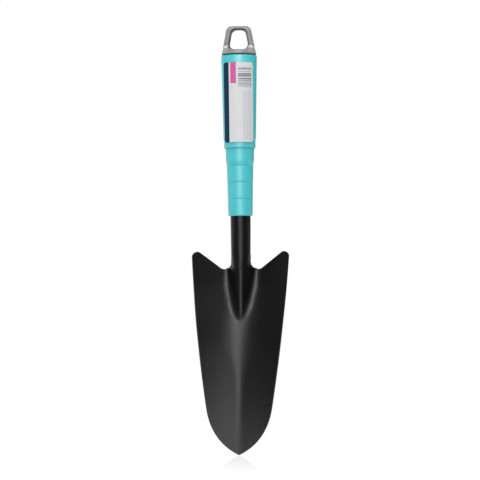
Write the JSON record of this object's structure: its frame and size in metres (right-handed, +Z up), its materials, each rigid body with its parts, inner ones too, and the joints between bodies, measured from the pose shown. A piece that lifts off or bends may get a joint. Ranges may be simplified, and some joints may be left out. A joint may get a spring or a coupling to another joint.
{
  "type": "garden trowel",
  "caption": "Hand trowel with a pointed, hollowed steel scoop, a rolled neck and a ringed plastic handle that ends in a hanging eye.",
  "frame": {"origin": "highest point of the inner edge of the hanging eye, where a hook bears", "axes": "+Z up along the handle, away from the scoop; -Y out of the scooping face and the label; +X to the right as seen from that side"},
  "size_m": [0.078, 0.0475, 0.3395],
  "materials": {
    "painted_steel": "satin black paint",
    "handle_plastic": "satin turquoise moulding",
    "cap_plastic": "satin grey moulding",
    "label_film": "semi-gloss printed film"
  },
  "bodies": {
    "root": {"blade": "painted_steel", "handle": "handle_plastic", "hanger_cap": "cap_plastic", "label": "label_film"}
  },
  "joints": []
}
